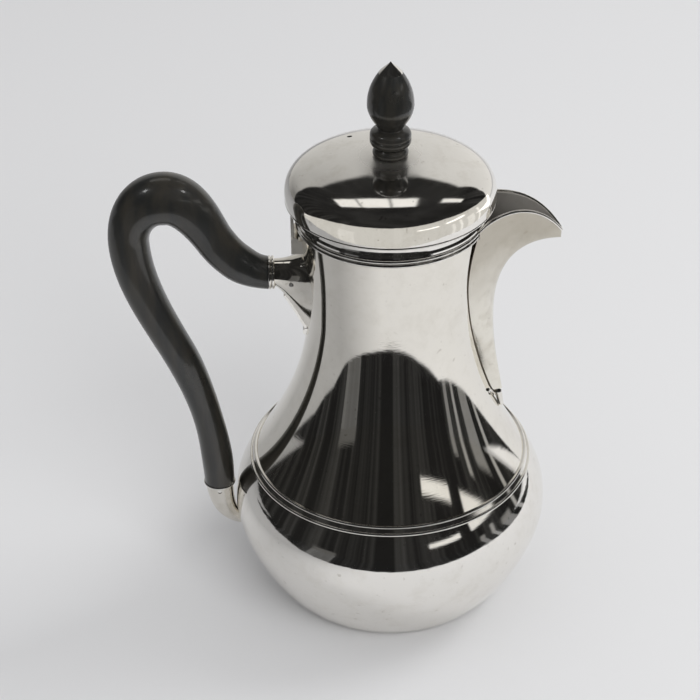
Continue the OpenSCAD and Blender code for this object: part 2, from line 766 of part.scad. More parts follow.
foot_top = crown_z + foot_h;
drum_top = foot_top + drum_h;
bulb_top = drum_top + bulb_h;
neck_r = 0.55 * bulb_r;
tip_r = 0.506 * bulb_r;

module bored(depth_to) {
    difference() {
        children();
        translate([0, 0, depth_to])
            cylinder(h = 60, r = rod_r + rod_gap, $fn = small_fn);
    }
}

module finial_foot() {
    color(ebony) bored(crown_z - 1)
        turned_solid(concat([[0, crown_z]], bez([foot_r - 0.7, crown_z], [foot_r + 0.3, crown_z + 0.2 * foot_h],
            [foot_r + 0.3, crown_z + 0.55 * foot_h], [foot_r - 1.3, foot_top], 8), [[0, foot_top]]));
}

module finial_knob() {
    // Each point as the inset from the drum's radius and the share of the drum's height.
    drum = [for (p = [[2.2, 0], [0.7, 0.11], [0, 0.29], [0, 0.47], [0.15, 0.5], [0, 0.53], [0.05, 0.69],
        [0.5, 0.85], [1.4, 0.93]]) [drum_r - p[0], foot_top + p[1] * drum_h]];
    groove = [[neck_r + 0.4, drum_top - 0.1], [neck_r, drum_top + 0.5]];
    swell_z = drum_top + 0.43 * bulb_h;
    bulb_low = bez(groove[1], [neck_r + 0.6, drum_top + 0.09 * bulb_h], [bulb_r, swell_z - 0.18 * bulb_h],
        [bulb_r, swell_z], 7);
    bulb_high = bez([bulb_r, swell_z], [bulb_r, swell_z + 0.27 * bulb_h], [tip_r + 2, bulb_top - 0.135 * bulb_h],
        [tip_r, bulb_top], 7);
    color(ebony) bored(foot_top - 1)
        turned_solid(concat([[0, foot_top]], drum, groove, drop_first(bulb_low), drop_first(bulb_high),
            [[0, bulb_top]]));
}

nut_h = 2.2;
washer_t = 0.8;
rod_end = crown_z - lid_wall - washer_t - nut_h - 1.2;

module finial_tip() {
    color(silver) union() {
        turned_solid(concat([[0, bulb_top]], bez([tip_r, bulb_top], [tip_r - 0.6, bulb_top + 1.2],
            [1, bulb_top + tip_h - 1.4], [0, bulb_top + tip_h], 6)));
        translate([0, 0, rod_end])
            cylinder(h = bulb_top - rod_end + 0.5, r = rod_r, $fn = small_fn);
    }
}

module finial_washer() {
    color(silver) translate([0, 0, crown_z - lid_wall - washer_t])
        difference() {
            cylinder(h = washer_t, r = 4, $fn = round_fn);
            translate([0, 0, -1])
                cylinder(h = washer_t + 2, r = rod_r, $fn = small_fn);
        }
}

module finial_nut() {
    color(silver) translate([0, 0, crown_z - lid_wall - washer_t - nut_h])
        difference() {
            cylinder(h = nut_h, r = 3, $fn = 6);
            translate([0, 0, -1])
                cylinder(h = nut_h + 2, r = rod_r, $fn = small_fn);
        }
}

belly_bowl();
neck_shell();
girdle_wire();
rim_moulding();
neck_bezel();
spout();
spout_lip_wire();
spout_drop();
upper_socket();
upper_ferrule();
socket_strap();
lower_socket();
lower_ferrule();
handle();
upper_handle_pin();
lower_handle_pin();
hinge_lug();
hinge_pin();
lid_dome();
lid_edge_wire();
lid_collar();
hinge_leaf();
finial_foot();
finial_knob();
finial_tip();
finial_washer();
finial_nut();
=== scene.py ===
import json
import math

import bmesh
import bpy
from mathutils import Matrix, Vector


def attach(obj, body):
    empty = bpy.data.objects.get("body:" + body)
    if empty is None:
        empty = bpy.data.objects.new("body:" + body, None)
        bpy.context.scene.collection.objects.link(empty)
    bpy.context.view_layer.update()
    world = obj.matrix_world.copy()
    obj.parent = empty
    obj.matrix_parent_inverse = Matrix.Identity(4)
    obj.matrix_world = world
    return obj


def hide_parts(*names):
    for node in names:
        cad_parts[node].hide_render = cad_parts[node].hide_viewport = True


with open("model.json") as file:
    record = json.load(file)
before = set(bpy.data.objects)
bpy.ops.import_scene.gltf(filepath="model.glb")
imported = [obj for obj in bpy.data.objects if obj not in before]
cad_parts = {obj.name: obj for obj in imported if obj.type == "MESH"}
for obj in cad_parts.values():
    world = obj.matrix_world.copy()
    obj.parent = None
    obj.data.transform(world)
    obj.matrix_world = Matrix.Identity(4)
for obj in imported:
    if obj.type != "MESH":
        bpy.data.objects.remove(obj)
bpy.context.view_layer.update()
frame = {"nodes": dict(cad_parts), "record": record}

MM = 0.001
NODES = frame["nodes"]
POT = set(frame["record"]["behaviour"]["bodies"]["pot"])

# ---------------------------------------------------------------- camera
# A lens of about 102.5 mm on a 36 mm sensor. Angles in degrees, the place in metres.
FOCAL_PX, FRAME_PX, SENSOR_MM = 1992.4, 700.0, 36.0
CAMERA_AT = (-0.0379, -0.6519, 0.54065)
YAW, TILT, ROLL = math.radians(2.0), math.radians(33.54), math.radians(0.58)

forward = Vector((math.cos(TILT) * math.sin(YAW), math.cos(TILT) * math.cos(YAW), -math.sin(TILT)))
level_right = Vector((math.cos(YAW), -math.sin(YAW), 0.0))
level_up = level_right.cross(forward)
right = math.cos(ROLL) * level_right - math.sin(ROLL) * level_up
up = math.sin(ROLL) * level_right + math.cos(ROLL) * level_up
cam_data = bpy.data.cameras.new("camera")
cam_data.sensor_fit = "HORIZONTAL"
cam_data.sensor_width = SENSOR_MM
cam_data.lens = FOCAL_PX / FRAME_PX * SENSOR_MM
cam_data.shift_x = -1.5 / FRAME_PX
cam_data.clip_start = 0.01
cam = bpy.data.objects.new("camera", cam_data)
bpy.context.scene.collection.objects.link(cam)
cam.matrix_world = Matrix((
    (right.x, up.x, -forward.x, CAMERA_AT[0]),
    (right.y, up.y, -forward.y, CAMERA_AT[1]),
    (right.z, up.z, -forward.z, CAMERA_AT[2]),
    (0, 0, 0, 1)))
bpy.context.scene.camera = cam


# ---------------------------------------------------------------- curves, in millimetres
def bez_at(p, t):
    """The point at t on the Bezier curve with the four control points p."""
    a, b, c, d = (Vector(q) for q in p)
    s = 1 - t
    return a * s ** 3 + b * (3 * s * s * t) + c * (3 * s * t * t) + d * t ** 3


def bez(a, b, c, d, n):
    return [bez_at((a, b, c, d), i / n) for i in range(n + 1)]


def inset(pts, t):
    """The line moved by t to the left of its direction: inwards, where it runs up an outer wall."""
    out = []
    for i, p in enumerate(pts):
        a, b = pts[max(i - 1, 0)], pts[min(i + 1, len(pts) - 1)]
        d = (b - a).normalized()
        out.append(p + Vector((-d.y, d.x)) * t)
    return out


def radius_at(pts, z):
    for a, b in zip(pts, pts[1:]):
        if a.y <= z <= b.y:
            return a.x + (b.x - a.x) * (z - a.y) / (b.y - a.y)
    return pts[0].x if z < pts[0].y else pts[-1].x


REED_SHIFT = 0.001  # keeps the point that two reeds share from being one point


def reeds(a, b, count, steps=10):
    """A row of half-round reeds from a to b, that swell to the right of that direction."""
    a, b = Vector(a), Vector(b)
    along = (b - a).normalized()
    out = Vector((along.y, -along.x))
    d = (b - a).length / count
    pts = []
    for k in range(count):
        for i in range(steps + 1):
            turn = math.radians(-90 + 180 * i / steps)
            pts.append(a + along * (d * (k + 0.5 + 0.5 * math.sin(turn)))
                       + out * (d / 2 * math.cos(turn) + REED_SHIFT * k))
    return pts


# ---------------------------------------------------------------- mesh helpers
ROUND, SMALL_ROUND = 224, 96  # sides of the large and the small turned pieces
TURNED, SKINNED = 32.0, 40.0  # degrees between faces from which an edge is drawn sharp


def shade(obj, angle):
    for p in obj.data.polygons:
        p.use_smooth = True
    obj.data.set_sharp_from_angle(angle=math.radians(angle))


def new_object(name, verts, faces, angle):
    mesh = bpy.data.meshes.new(name)
    mesh.from_pydata([tuple(c * MM for c in v) for v in verts], [], faces)
    mesh.validate()
    bm = bmesh.new()
    bm.from_mesh(mesh)
    bmesh.ops.remove_doubles(bm, verts=bm.verts, dist=1e-7)
    bmesh.ops.recalc_face_normals(bm, faces=bm.faces)
    bm.to_mesh(mesh)
    bm.free()
    obj = bpy.data.objects.new(name, mesh)
    bpy.context.scene.collection.objects.link(obj)
    shade(obj, angle)
    return obj


def lathe(name, pts, seg=ROUND, place=None):
    """A closed loop of (r, z) points turned round the Z axis. Points on the axis are shared."""
    verts, rows, faces = [], [], []
    for p in pts:
        if p[0] < 1e-6:
            rows.append([len(verts)] * seg)
            verts.append((0, 0, p[1]))
        else:
            rows.append(list(range(len(verts), len(verts) + seg)))
            for i in range(seg):
                a = 2 * math.pi * i / seg
                verts.append((p[0] * math.cos(a), p[0] * math.sin(a), p[1]))
    for lo, hi in zip(rows, rows[1:] + rows[:1]):
        for i in range(seg):
            j = (i + 1) % seg
            corners = list(dict.fromkeys((lo[i], lo[j], hi[j], hi[i])))
            if len(corners) > 2:
                faces.append(corners)
    if place:
        verts = [place @ Vector(v) for v in verts]
    return new_object(name, verts, faces, TURNED)


def skin(name, rings):
    """A closed skin over rings with equal numbers of points."""
    n = len(rings[0])
    verts = [tuple(p) for r in rings for p in r]
    faces = []
    for k in range(len(rings) - 1):
        for i in range(n):
            j = (i + 1) % n
            faces.append([k * n + i, k * n + j, (k + 1) * n + j, (k + 1) * n + i])
    faces.append(list(range(n))[::-1])
    faces.append([(len(rings) - 1) * n + i for i in range(n)])
    return new_object(name, verts, faces, SKINNED)


def tube_rings(path, radius, sides, facing):
    """Rings round a path. The radius is one number, or a list with one for each point of the path."""
    rings = []
    for i, p in enumerate(path):
        d = (path[min(i + 1, len(path) - 1)] - path[max(i - 1, 0)]).normalized()
        side = d.cross(facing).normalized()
        above = side.cross(d)
        r = radius[i] if isinstance(radius, list) else radius
        turns = [2 * math.pi * j / sides for j in range(sides)]
        rings.append([p + side * (r * math.cos(a)) + above * (r * math.sin(a)) for a in turns])
    return rings


def cylinder(name, r, a, b, seg=64):
    """A solid cylinder between two points."""
    a, b = Vector(a), Vector(b)
    d = (b - a).normalized()
    facing = Vector((0, 0, 1)) if abs(d.z) < 0.9 else Vector((1, 0, 0))
    return skin(name, tube_rings([a, b], r, seg, facing))


def drop(obj):
    mesh = obj.data
    bpy.data.objects.remove(obj, do_unlink=True)
    bpy.data.meshes.remove(mesh)


def cut(obj, cutter, mode="DIFFERENCE", keep=False, angle=TURNED):
    m = obj.modifiers.new("cut", "BOOLEAN")
    m.operation = mode
    m.solver = "EXACT"
    m.object = cutter
    dep = bpy.context.evaluated_depsgraph_get()
    mesh = bpy.data.meshes.new_from_object(obj.evaluated_get(dep))
    obj.modifiers.clear()
    old = obj.data
    obj.data = mesh
    mesh.name = obj.name
    bpy.data.meshes.remove(old)
    if not keep:
        drop(cutter)
    shade(obj, angle)


pieces = {}


def finish_piece(obj, node):
    pieces[node] = obj
    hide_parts(node)


# ---------------------------------------------------------------- body, from the source's named values
BASE_R, BELLY_R, BELLY_Z, SEAM_R, SEAM_Z = 44.5, 63.0, 39.0, 53.9, 62.7
WAIST_R, WAIST_Z, RIM_R, RIM_Z, WALL = 32.0, 129.0, 35.2, 169.9, 1.2
# How far each curve's control points stand off its ends.
BASE_PULL, BELLY_PULL_LOW, BELLY_PULL_HIGH, SEAM_PULL_LOW = (6.6, 5), 12, 8, (7.5, -10)
SEAM_PULL_HIGH, WAIST_PULL_LOW, WAIST_PULL_HIGH = (-0.55 * 27.3, 0.835 * 27.3), 20, 16
RIM_PULL = (-0.12 * 16, -0.993 * 16)
CURVE_STEPS = 44

belly_low = bez((BASE_R, 0), (BASE_R + BASE_PULL[0], BASE_PULL[1]), (BELLY_R, BELLY_Z - BELLY_PULL_LOW),
                (BELLY_R, BELLY_Z), CURVE_STEPS)
belly_high = bez((BELLY_R, BELLY_Z), (BELLY_R, BELLY_Z + BELLY_PULL_HIGH),
                 (SEAM_R + SEAM_PULL_LOW[0], SEAM_Z + SEAM_PULL_LOW[1]), (SEAM_R, SEAM_Z), CURVE_STEPS)
belly_line = belly_low + belly_high[1:]
neck_low = bez((SEAM_R, SEAM_Z), (SEAM_R + SEAM_PULL_HIGH[0], SEAM_Z + SEAM_PULL_HIGH[1]),
               (WAIST_R, WAIST_Z - WAIST_PULL_LOW), (WAIST_R, WAIST_Z), CURVE_STEPS)
neck_high = bez((WAIST_R, WAIST_Z), (WAIST_R, WAIST_Z + WAIST_PULL_HIGH),
                (RIM_R + RIM_PULL[0], RIM_Z + RIM_PULL[1]), (RIM_R, RIM_Z), CURVE_STEPS)
neck_line = neck_low + neck_high[1:]

belly_in = inset(belly_line, WALL)
seam_in = Vector((radius_at(belly_in, SEAM_Z), SEAM_Z))
belly_inner = ([Vector((0, WALL)), Vector((radius_at(belly_in, WALL), WALL))]
               + [p for p in belly_in if WALL + 0.5 < p.y < SEAM_Z - 1] + [seam_in])
neck_inner = ([seam_in] + [p for p in inset(neck_line, WALL) if SEAM_Z + 1 < p.y < RIM_Z - 1]
              + [Vector((RIM_R - WALL, RIM_Z))])

belly = lathe("belly_skin", [Vector((0, 0))] + belly_line + belly_inner[::-1])
finish_piece(belly, "belly_bowl")

# The strainer: rows of holes behind the spout, one less in each lower row.
HOLE_R, PITCH, ROWS, ROW_SHARE, TOP_ROW_Z, HOLE_REACH = 1.5, 4.6, 5, 0.87, 160, 6
neck = lathe("neck_skin", neck_line + neck_inner[::-1])
bm = bmesh.new()
for row in range(ROWS):
    count = ROWS - row
    z = TOP_ROW_Z - row * PITCH * ROW_SHARE
    for i in range(count):
        turn = (i - (count - 1) / 2) * PITCH / WAIST_R
        ends = [(r * math.cos(turn), r * math.sin(turn), z) for r in (WAIST_R - HOLE_REACH, WAIST_R + HOLE_REACH)]
        hole = cylinder("hole", HOLE_R, *ends, 24)
        bm.from_mesh(hole.data)
        drop(hole)
hole_mesh = bpy.data.meshes.new("holes")
bm.to_mesh(hole_mesh)
bm.free()
holes = bpy.data.objects.new("holes", hole_mesh)
bpy.context.scene.collection.objects.link(holes)
cut(neck, holes)
finish_piece(neck, "neck_shell")

# Solid bodies that spout, sockets and ferrule are cut against.
neck_mass = lathe("neck_mass", [Vector((0, SEAM_Z - 1)), Vector((SEAM_R, SEAM_Z - 1))] + neck_line
                  + [Vector((0, RIM_Z))])
belly_mass = lathe("belly_mass", [Vector((0, 0))] + belly_line + [Vector((0, SEAM_Z))])

# The girdle: two reeds with a flat band between them, closed by a line just inside the wall.
GIRDLE_W, GIRDLE_REED, GIRDLE_PROUD, GIRDLE_SUNK = 3.6, 1.3, 0.25, 0.5
GIRDLE_FOOT = SEAM_Z - GIRDLE_W * 0.94
low_r = radius_at(belly_line, GIRDLE_FOOT)
g_low, g_high = Vector((low_r + GIRDLE_PROUD, GIRDLE_FOOT)), Vector((SEAM_R + GIRDLE_PROUD, SEAM_Z))
reed = (g_high - g_low).normalized() * GIRDLE_REED
girdle = lathe("girdle_reeds", reeds(g_low, g_low + reed, 1) + reeds(g_high - reed, g_high, 1)
               + [Vector((SEAM_R - GIRDLE_SUNK, SEAM_Z)), Vector((low_r - GIRDLE_SUNK, GIRDLE_FOOT))])
finish_piece(girdle, "girdle_wire")

RIM_REED, RIM_REEDS = 1.7, 2
MOULDING_R, MOULDING_FOOT, MOULDING_BACK = RIM_R + RIM_REED / 2, RIM_Z - RIM_REED * RIM_REEDS, RIM_R - 0.6
moulding = lathe("rim_reeds", reeds((RIM_R, MOULDING_FOOT), (RIM_R, RIM_Z), RIM_REEDS)
                 + [Vector((MOULDING_BACK, RIM_Z)), Vector((MOULDING_BACK, MOULDING_FOOT))])
finish_piece(moulding, "rim_moulding")

# ---------------------------------------------------------------- lid
LID_R, EDGE_Z, RISE_Z, LID_WALL = 39.6, 177.4, 16.9, 1.1
CROWN_Z, FLAT_R, ROD_R = EDGE_Z + RISE_Z, 7.1, 1.3
# The dome's pulls: at its edge as shares of the rise, at its crown as shares of the reach and the rise.
EDGE_PULL, CROWN_PULL = (0.065, 0.545), (0.866, 0.167)
dome_line = bez((LID_R, EDGE_Z), (LID_R + EDGE_PULL[0] * RISE_Z, EDGE_Z + EDGE_PULL[1] * RISE_Z),
                (FLAT_R + (LID_R - FLAT_R) * CROWN_PULL[0], CROWN_Z - CROWN_PULL[1] * RISE_Z),
                (FLAT_R, CROWN_Z), 72)
dome_in = [p for p in inset(dome_line, LID_WALL) if p.x > FLAT_R + 1 and p.y > EDGE_Z + 0.4]
crown_in = [Vector((ROD_R, CROWN_Z)), Vector((ROD_R, CROWN_Z - LID_WALL)), Vector((FLAT_R, CROWN_Z - LID_WALL))]
dome = lathe("lid_skin", dome_line + crown_in + dome_in[::-1] + [Vector((LID_R - LID_WALL, EDGE_Z))])
VENT_R, VENT_OUT, VENT_TURN = 1.0, 25, math.radians(125)
vent_x, vent_y = VENT_OUT * math.cos(VENT_TURN), VENT_OUT * math.sin(VENT_TURN)
cut(dome, cylinder("vent", VENT_R, (vent_x, vent_y, CROWN_Z - 8), (vent_x, vent_y, CROWN_Z + 4), 32))
finish_piece(dome, "lid_dome")

FLANGE_R, FOOT_Z, FOOT_R, HOLLOW_R, EDGE_REED = LID_R - 0.5, RIM_Z + 0.3, RIM_R + 0.4, 34.9, 1.1
BEZEL_R = RIM_R - WALL - 0.4  # of the ring inside the neck, which the collar clears
COLLAR_IN = BEZEL_R + 0.6
collar_line = ([Vector((FOOT_R, FOOT_Z)), Vector((FOOT_R, FOOT_Z + 0.7))]
               + bez((HOLLOW_R, FOOT_Z + 1.6), (HOLLOW_R, FOOT_Z + 4.5), (HOLLOW_R + 0.8, EDGE_Z - 1.2),
                     (FLANGE_R, EDGE_Z - 1), 32)
               + [Vector((FLANGE_R, EDGE_Z))])
collar = lathe("lid_collar_skin", collar_line + [Vector((COLLAR_IN, EDGE_Z)), Vector((COLLAR_IN, FOOT_Z))])
finish_piece(collar, "lid_collar")
edge = lathe("lid_edge_bead", reeds((FLANGE_R, EDGE_Z - EDGE_REED), (FLANGE_R, EDGE_Z), 1, 14))
finish_piece(edge, "lid_edge_wire")

# ---------------------------------------------------------------- finial
FOOT_TOP = CROWN_Z + 3.8
DRUM_TOP = FOOT_TOP + 7.2
BULB_TOP = DRUM_TOP + 22.3
TIP_TOP = BULB_TOP + 4.4
BORE_R, BULB_R, SWELL_Z = ROD_R + 0.1, 8.7, DRUM_TOP + 9.6
NECKING_R, CAP_R = 4.8, 4.4
foot = lathe("finial_bun", bez((6.0, CROWN_Z), (7.0, CROWN_Z + 0.76), (7.0, CROWN_Z + 2.09), (5.4, FOOT_TOP), 32)
             + [Vector((BORE_R, FOOT_TOP)), Vector((BORE_R, CROWN_Z))], SMALL_ROUND)
finish_piece(foot, "finial_foot")

# The drum under the bulb: inset from its radius, and height over its foot, then over its top.
DRUM_R = 7.7
DRUM_FOOT = ((2.2, 0), (1.3, 0.3), (0.7, 0.8), (0.25, 1.4), (0, 2.1), (0, 3.3), (0.05, 3.42), (0.22, 3.6),
             (0.05, 3.78), (0, 3.9))
DRUM_HEAD = ((0, -2.4), (0.15, -1.7), (0.5, -1.1), (0.95, -0.7), (1.5, -0.4), (2.3, -0.1), (2.7, 0.12))
knob_line = ([Vector((DRUM_R - r, FOOT_TOP + z)) for r, z in DRUM_FOOT]
             + [Vector((DRUM_R - r, DRUM_TOP + z)) for r, z in DRUM_HEAD]
             + bez((NECKING_R, DRUM_TOP + 0.5), (5.4, DRUM_TOP + 2), (BULB_R, SWELL_Z - 4), (BULB_R, SWELL_Z), 32)
             + bez((BULB_R, SWELL_Z), (BULB_R, SWELL_Z + 6), (6.4, BULB_TOP - 3), (CAP_R, BULB_TOP), 32)[1:])
knob = lathe("finial_knob_turned", knob_line + [Vector((BORE_R, BULB_TOP)), Vector((BORE_R, FOOT_TOP))],
             SMALL_ROUND)
finish_piece(knob, "finial_knob")

ROD_END = CROWN_Z - 5.3
tip = lathe("finial_cap", bez((CAP_R, BULB_TOP), (3.8, BULB_TOP + 1.2), (1, BULB_TOP + 3.0), (0, TIP_TOP), 24)
            + [Vector((0, ROD_END)), Vector((ROD_R, ROD_END)), Vector((ROD_R, BULB_TOP))], SMALL_ROUND)
finish_piece(tip, "finial_tip")

# ---------------------------------------------------------------- spout
# KEEL is the lower line. SEAM (y, z) is where the side leaves the neck, and LIP (x, y, z) is the open edge.
TIP_X, TIP_Z, KEEL_X, KEEL_Z, SPOUT_FOOT, HALF_W = 65.0, 157.0, 40.2, 126.0, 88.0, 16.5
KEEL_LOW = ((44.8, SPOUT_FOOT), (42.6, SPOUT_FOOT + 13), (KEEL_X, KEEL_Z - 15), (KEEL_X, KEEL_Z))
KEEL_HIGH = ((KEEL_X, KEEL_Z), (KEEL_X, KEEL_Z + 22), (TIP_X - 15, TIP_Z), (TIP_X, TIP_Z))
LIP = ((math.sqrt(MOULDING_R ** 2 - HALF_W ** 2), HALF_W, RIM_Z), (MOULDING_R + 3, HALF_W - 9, RIM_Z + 2),
       (TIP_X - 12, HALF_W - 9, RIM_Z + 9), (TIP_X, 0.6, TIP_Z + 3.6))
SEAM = ((1, SPOUT_FOOT), (1, SPOUT_FOOT + 30), (HALF_W + 5.5, RIM_Z - 34), (HALF_W, RIM_Z))
KEEL_SHARE = 1.3  # where on the keel the section through the rim stands
HALF_POINTS, SECTION_POWER = 16, 1.45
SPOUT_WALL, OPEN_TOP, INTO_NECK = 1.1, 2.0, 4
STATIONS, HOLLOW_FROM, HOLLOW_TO = 40, 0.1, 1.95
LIP_WIRE_R, LIP_STEPS, LIP_END = 0.6, 60, 0.995


def keel_at(k):
    return bez_at(KEEL_LOW, k) if k < 1 else bez_at(KEEL_HIGH, k - 1)


def edge_at(m):
    """The spout's edge on the far side: 0 at its foot, 1 at the rim, 2 at the tip. Up to the rim it lies on the
    neck, which near its top gives way to the rim moulding."""
    if m > 1:
        return bez_at(LIP, m - 1)
    e = bez_at(SEAM, m)
    reach = radius_at(neck_line, e.y) + (MOULDING_R - RIM_R) * ((e.y - SEAM_Z) / (RIM_Z - SEAM_Z)) ** 8
    return Vector((math.sqrt(reach ** 2 - e.x ** 2), e.x, e.y))


def mirrored(p):
    return Vector((p.x, -p.y, p.z))


def spout_section(m, wall, lift):
    """A U-shaped ring from edge to keel to edge, moved in by a wall and raised at its open top by lift."""
    e = edge_at(m)
    k = keel_at(m * KEEL_SHARE if m < 1 else KEEL_SHARE + (m - 1) * (2 - KEEL_SHARE))
    keel = Vector((k.x, 0, k.y))
    top = Vector((e.x, 0, e.z))
    rise = (top - keel).normalized()
    low_point, top_point = keel + rise * wall, top + rise * lift
    half_w = max(e.y - wall, 0.1)
    ring = []
    for i in range(-HALF_POINTS, HALF_POINTS + 1):
        u = i / HALF_POINTS
        ring.append(low_point.lerp(top_point, abs(u) ** SECTION_POWER) - Vector((0, half_w * u, 0)))
    back = top_point - Vector((INTO_NECK if m < 1 else 0, 0, 0))
    return ring + [back - Vector((0, half_w * 0.5, 0)), back + Vector((0, half_w * 0.5, 0))]


# The spout is skinned over its sections, hollowed, and cut to the neck and round the lid.
stations = [i / STATIONS for i in range(STATIONS)] + [1 + i / STATIONS for i in range(STATIONS + 1)]
spout = skin("spout_skin", [spout_section(m, 0, 0) for m in stations])
inside = skin("spout_in", [spout_section(m, SPOUT_WALL, OPEN_TOP) for m in stations
                           if HOLLOW_FROM < m < HOLLOW_TO])
cut(spout, inside, angle=SKINNED)
cut(spout, neck_mass, keep=True, angle=SKINNED)
mouth_room = cylinder("room", MOULDING_R + 0.02, (0, 0, MOULDING_FOOT), (0, 0, RIM_Z + 37), ROUND)
cut(spout, mouth_room, keep=True, angle=SKINNED)
finish_piece(spout, "spout")

lip = [edge_at(1 + i / LIP_STEPS * LIP_END) for i in range(LIP_STEPS + 1)]
wire_path = [mirrored(p) for p in lip] + lip[::-1]
wire = skin("spout_lip_bead", tube_rings(wire_path, LIP_WIRE_R, 16, Vector((1, 0, 1))))
cut(wire, mouth_room)
finish_piece(wire, "spout_lip_wire")

# Painted shade in the corners between the spout and the neck, with old tarnish in the joint: a dark thread that
# gets thinner upwards.
SEAM_SHADE_STEPS, SEAM_SHADE_FOOT_R, SEAM_SHADE_THINNING = 48, 0.42, 0.2
far_seam = [edge_at(0.02 + 0.95 * i / SEAM_SHADE_STEPS) for i in range(SEAM_SHADE_STEPS + 1)]
seam_width = [SEAM_SHADE_FOOT_R - SEAM_SHADE_THINNING * i / SEAM_SHADE_STEPS for i in range(SEAM_SHADE_STEPS + 1)]
seams = [skin("spout_seam_near", tube_rings([mirrored(p) for p in far_seam], seam_width, 10, Vector((1, 0, 0)))),
         skin("spout_seam_far", tube_rings(far_seam, seam_width, 10, Vector((1, 0, 0))))]

# ---------------------------------------------------------------- handle
SOCKET_X, SOCKET_Z, CUP_X, CUP_Z = -46.8, 145, -69.6, 47
TANG_R, TANG_BORE_R, PIN_R, PIN_REACH = 3.9, 4.0, 0.9, 20
PINS = ((-38, 143.05), (CUP_X, 44.4))
RISE, GRIP = Vector((-0.53, 0.85)).normalized(), Vector((0.41, -0.91)).normalized()
h0, h1, h2, h3, h4, h5 = (Vector(q) for q in (
    (SOCKET_X, SOCKET_Z), (-66.2, 159.5), (-84.5, 178.4), (-98.8, 160.5), (-83.3, 111), (CUP_X, CUP_Z)))
# Five curves end to end: start, its pull, the end's pull, end.
HANDLE = ((h0, h0 + Vector((-9, 0.9)), h1 - 8 * RISE, h1),
          (h1, h1 + 7 * RISE, h2 + Vector((9, 0)), h2),
          (h2, h2 - Vector((8.5, 0)), h3 + Vector((0, 9.5)), h3),
          (h3, h3 - Vector((0, 17)), h4 - 16 * GRIP, h4),
          (h4, h4 + 20 * GRIP, h5 + Vector((0, 22)), h5))
# Half the handle's thickness at places along it, counted in curves.
HALF_T = ((0, 6.4), (0.5, 7.5), (1, 7.7), (2, 10.2), (3, 7.8), (4, 6.8), (4.55, 5.9), (4.85, 6.3), (5, 6.1))
OVAL = 0.92
HANDLE_STEPS, END_STEPS = 150, 8  # the ends are round, and turn oval over the end steps


def eased(k, table):
    for (a, va), (b, vb) in zip(table, table[1:]):
        if k <= b:
            t = (k - a) / (b - a)
            return va + (vb - va) * t * t * (3 - 2 * t)
    return table[-1][1]


def handle_at(k):
    i = min(int(k), len(HANDLE) - 1)
    return bez_at(HANDLE[i], k - i)


def path_ring(c, along, b, w, sides):
    """An oval ring across a path in the XZ plane: b is its half height there, w its half width in Y."""
    d = along.normalized()
    return [Vector((c.x - d.y * b * math.cos(a), w * math.sin(a), c.y + d.x * b * math.cos(a)))
            for a in (2 * math.pi * i / sides for i in range(sides))]


def pin_through(x, z):
    return cylinder("pin", PIN_R, (x, -PIN_REACH, z), (x, PIN_REACH, z))


rings = []
for j in range(HANDLE_STEPS + 1):
    k = j * len(HANDLE) / HANDLE_STEPS
    half_t = eased(k, HALF_T)
    if j == 0:
        along, oval = Vector((-1, 0)), 1
    elif j == HANDLE_STEPS:
        along, oval = Vector((0, -1)), 1
    else:
        along = handle_at(min(k + 0.01, len(HANDLE))) - handle_at(max(k - 0.01, 0))
        oval = 1 + (OVAL - 1) * min(1, j / END_STEPS, (HANDLE_STEPS - j) / END_STEPS)
    rings.append(path_ring(handle_at(k), along, half_t, half_t * oval, 48))
handle = skin("handle_wood", rings)
for tang in (cylinder("tang", TANG_R, (SOCKET_X - 1, 0, SOCKET_Z), (SOCKET_X + 11, 0, SOCKET_Z)),
             cylinder("tang", TANG_R, (CUP_X, 0, CUP_Z + 1), (CUP_X, 0, CUP_Z - 6.5))):
    cut(handle, tang, "UNION", angle=SKINNED)
for x, z in PINS:
    cut(handle, pin_through(x, z), angle=SKINNED)
finish_piece(handle, "handle")

# ---------------------------------------------------------------- sockets
TUBE_R, STRAIGHT, FLARE_LEN, CUP_R, FERRULE_REED = 5.4, 2.808, 16.006, 5.6, 1.3
FLARE_W, FLARE_UP, FLARE_DOWN = 1.48, 1.3, 5.56  # in radii of the tube
CUP_TAPER, CUP_STEPS, FLARE_STEPS = 0.64, 40, 36
CUP_PATH = ((CUP_X, CUP_Z), (CUP_X, 37.11), (-67.51, 29.9), (-60.5, 26.4))


def socket_ring(s, sides=64):
    """A ring of the upper socket, from its tube at 0 to its flared root at 1."""
    x = SOCKET_X + STRAIGHT + FLARE_LEN * s
    width = TUBE_R * (1 + FLARE_W * s ** 2)
    above = TUBE_R * (1 + FLARE_UP * s ** 2.4)
    below = TUBE_R * (1 + FLARE_DOWN * s ** 1.25)
    ring = []
    for i in range(sides):
        a = 2 * math.pi * i / sides
        c, n = math.cos(a), math.sin(a)
        narrow = 1 - 0.35 * s * n * n if n < 0 else 1
        ring.append(Vector((x, -width * c * narrow, SOCKET_Z + (above if n > 0 else below) * n)))
    return ring


socket = skin("upper_socket_skin", [[Vector((SOCKET_X, p.y, p.z)) for p in socket_ring(0)]]
              + [socket_ring(i / FLARE_STEPS) for i in range(FLARE_STEPS + 1)])
cut(socket, neck_mass, keep=True, angle=SKINNED)
cut(socket, cylinder("bore", TANG_BORE_R, (SOCKET_X - 1, 0, SOCKET_Z), (SOCKET_X + 11.5, 0, SOCKET_Z)),
    angle=SKINNED)
cut(socket, pin_through(*PINS[0]), angle=SKINNED)
finish_piece(socket, "upper_socket")

to_socket = Matrix.Translation((SOCKET_X, 0, SOCKET_Z)) @ Matrix.Rotation(math.radians(90), 4, "Y")
ferrule = lathe("upper_ferrule_reeds", [Vector((TUBE_R, 0))]
                + reeds((TUBE_R + 0.5, 0), (TUBE_R + 0.5, 2 * FERRULE_REED), 2)
                + [Vector((TUBE_R, 2 * FERRULE_REED))], SMALL_ROUND, to_socket)
finish_piece(ferrule, "upper_ferrule")

